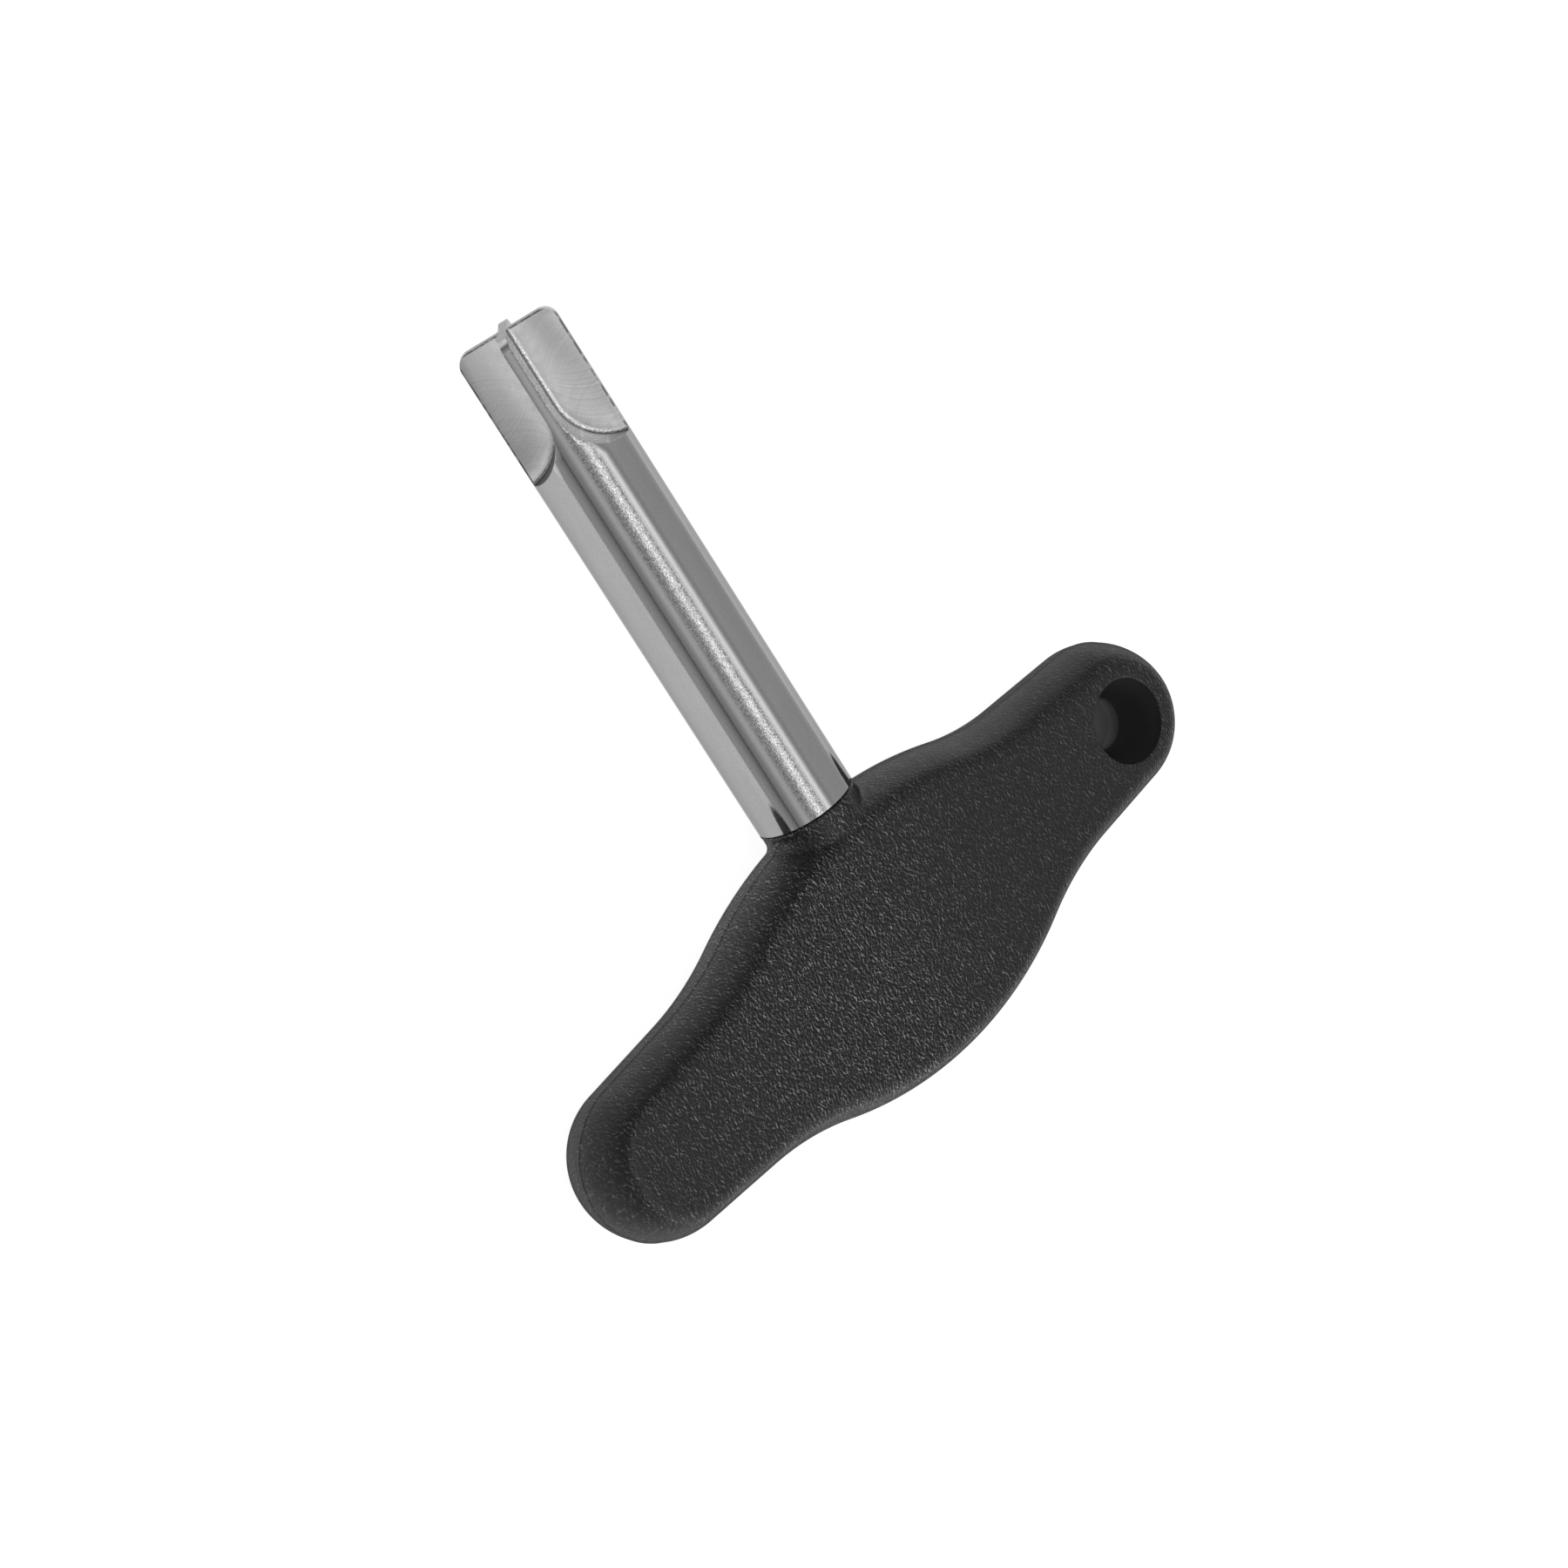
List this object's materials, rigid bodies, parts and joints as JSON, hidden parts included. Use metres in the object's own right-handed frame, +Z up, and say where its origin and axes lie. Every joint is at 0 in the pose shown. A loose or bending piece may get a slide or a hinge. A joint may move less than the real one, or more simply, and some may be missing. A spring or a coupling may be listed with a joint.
{
  "type": "t-handle bleed key with cross-blade driver",
  "caption": "T-handle key: bright round steel shaft milled to a cross-blade driver, moulded into a black grained plastic handle with a hanging hole.",
  "frame": {"origin": "on the lower broad face of the handle, under the point where the shaft axis crosses the handle's long centreline", "axes": "+X along the handle towards the hanging hole, +Y along the shaft towards the driver tip, +Z up out of the upper broad face"},
  "size_m": [0.0972, 0.0964, 0.0128],
  "materials": {
    "plated_steel": "bright plated, lightly brushed along the shaft, milling marks in the tip's pockets",
    "black_plastic": "matt, fine spark-eroded mould grain"
  },
  "bodies": {
    "root": {"driver_shaft": "plated_steel", "handle": "black_plastic"}
  },
  "joints": []
}
